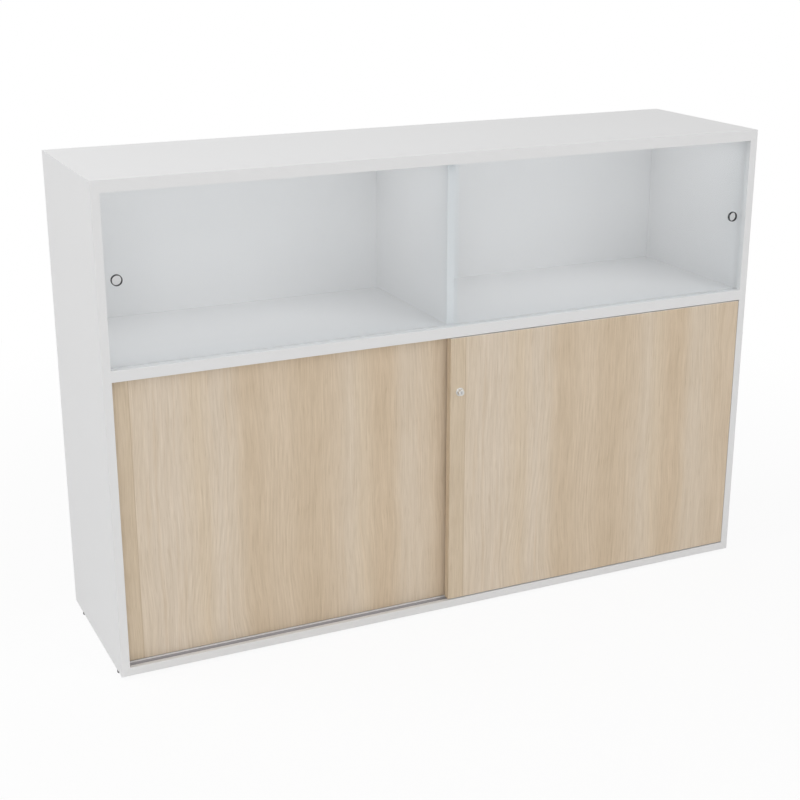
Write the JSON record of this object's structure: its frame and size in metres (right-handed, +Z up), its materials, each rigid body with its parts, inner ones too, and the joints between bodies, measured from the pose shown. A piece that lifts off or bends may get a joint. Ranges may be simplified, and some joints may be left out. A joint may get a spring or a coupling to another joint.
{
  "type": "room divider cabinet",
  "caption": "White low cabinet with sliding glass doors above and sliding pale oak board doors on rollers below, push lock and levelling feet",
  "frame": {"origin": "on the floor under the middle of the cabinet's box", "axes": "X to the right along the width, Y from the doors to the back, Z up"},
  "size_m": [1.598, 0.428, 1.085],
  "materials": {
    "white_board": "fine-grained white melamine face on chipboard",
    "oak_board": "pale oak pattern on chipboard, satin",
    "tongue_wood": "plain birch plywood",
    "clear_glass": "clear float glass with polished edges",
    "channel_plastic": "white extruded plastic",
    "roller_plastic": "off-white moulded plastic",
    "black_plastic": "black moulded plastic",
    "track_aluminium": "anodised extrusion",
    "steel": "zinc-plated steel",
    "lock_metal": "satin nickel plating"
  },
  "bodies": {
    "cabinet": {"left_side_panel": "white_board", "right_side_panel": "white_board", "top_panel": "white_board", "base_panel": "white_board", "fixed_shelf": "white_board", "upper_divider": "white_board", "lower_divider": "white_board", "back_panel": "white_board", "left_inner_shelf": "white_board", "right_inner_shelf": "white_board", "shelf_pins": "steel", "joint_tongues": "tongue_wood", "upper_glass_channel": "channel_plastic", "lower_glass_channel": "channel_plastic", "front_door_track": "track_aluminium", "rear_door_track": "track_aluminium", "front_guide_rail": "track_aluminium", "rear_guide_rail": "track_aluminium"},
    "left_glass": {"left_glass_pane": "clear_glass", "left_finger_ring": "black_plastic"},
    "right_glass": {"right_glass_pane": "clear_glass", "right_finger_ring": "black_plastic"},
    "left_door": {"left_door_panel": "oak_board", "left_roller_housings": "roller_plastic", "left_roller_axles": "steel", "left_guide_blocks": "roller_plastic"},
    "right_door": {"right_door_panel": "oak_board", "right_roller_housings": "roller_plastic", "right_roller_axles": "steel", "right_guide_blocks": "roller_plastic", "lock_sleeve": "lock_metal", "lock_nut": "steel"},
    "lock_plunger": {"lock_plunger": "lock_metal"},
    "lock_core": {"lock_core": "lock_metal"},
    "left_door_left_wheel": {"left_door_left_wheel": "roller_plastic"},
    "left_door_right_wheel": {"left_door_right_wheel": "roller_plastic"},
    "right_door_left_wheel": {"right_door_left_wheel": "roller_plastic"},
    "right_door_right_wheel": {"right_door_right_wheel": "roller_plastic"},
    "front_left_foot": {"front_left_glide": "black_plastic", "front_left_spindle": "steel"},
    "front_right_foot": {"front_right_glide": "black_plastic", "front_right_spindle": "steel"},
    "rear_left_foot": {"rear_left_glide": "black_plastic", "rear_left_spindle": "steel"},
    "rear_right_foot": {"rear_right_glide": "black_plastic", "rear_right_spindle": "steel"}
  },
  "joints": [
    {"name": "left_glass_slide", "type": "slide", "parent": "cabinet", "child": "left_glass", "axis": [1, 0, 0], "range_m": [0, 0.764]},
    {"name": "right_glass_slide", "type": "slide", "parent": "cabinet", "child": "right_glass", "axis": [-1, 0, 0], "range_m": [0, 0.764]},
    {"name": "left_door_slide", "type": "slide", "parent": "cabinet", "child": "left_door", "axis": [1, 0, 0], "range_m": [0, 0.769]},
    {"name": "right_door_slide", "type": "slide", "parent": "cabinet", "child": "right_door", "axis": [-1, 0, 0], "range_m": [0, 0.769]},
    {"name": "left_door_left_wheel_turn", "type": "hinge", "parent": "left_door", "child": "left_door_left_wheel", "pos_m": [-0.709, -0.1625, 0.0318], "axis": [0, 1, 0], "continuous": true},
    {"name": "left_door_right_wheel_turn", "type": "hinge", "parent": "left_door", "child": "left_door_right_wheel", "pos_m": [-0.06, -0.1625, 0.0318], "axis": [0, 1, 0], "continuous": true},
    {"name": "right_door_left_wheel_turn", "type": "hinge", "parent": "right_door", "child": "right_door_left_wheel", "pos_m": [0.06, -0.1875, 0.0318], "axis": [0, -1, 0], "continuous": true},
    {"name": "right_door_right_wheel_turn", "type": "hinge", "parent": "right_door", "child": "right_door_right_wheel", "pos_m": [0.709, -0.1875, 0.0318], "axis": [0, -1, 0], "continuous": true},
    {"name": "lock_push", "type": "slide", "parent": "right_door", "child": "lock_plunger", "axis": [0, -1, 0], "range_m": [-0.0085, 0]},
    {"name": "key_turn", "type": "hinge", "parent": "lock_plunger", "child": "lock_core", "pos_m": [0.01375, -0.208, 0.543], "axis": [0, 1, 0], "range_deg": [0, 90]},
    {"name": "front_left_foot_screw", "type": "slide", "parent": "cabinet", "child": "front_left_foot", "axis": [0, 0, -1], "range_m": [0, 0.01]},
    {"name": "front_right_foot_screw", "type": "slide", "parent": "cabinet", "child": "front_right_foot", "axis": [0, 0, -1], "range_m": [0, 0.01]},
    {"name": "rear_left_foot_screw", "type": "slide", "parent": "cabinet", "child": "rear_left_foot", "axis": [0, 0, -1], "range_m": [0, 0.01]},
    {"name": "rear_right_foot_screw", "type": "slide", "parent": "cabinet", "child": "rear_right_foot", "axis": [0, 0, -1], "range_m": [0, 0.01]}
  ],
  "couplings": [
    {"joint": "left_door_left_wheel_turn", "follows": "left_door_slide", "rad_per_m": 97.087},
    {"joint": "left_door_right_wheel_turn", "follows": "left_door_slide", "rad_per_m": 97.087},
    {"joint": "right_door_left_wheel_turn", "follows": "right_door_slide", "rad_per_m": 97.087},
    {"joint": "right_door_right_wheel_turn", "follows": "right_door_slide", "rad_per_m": 97.087}
  ]
}
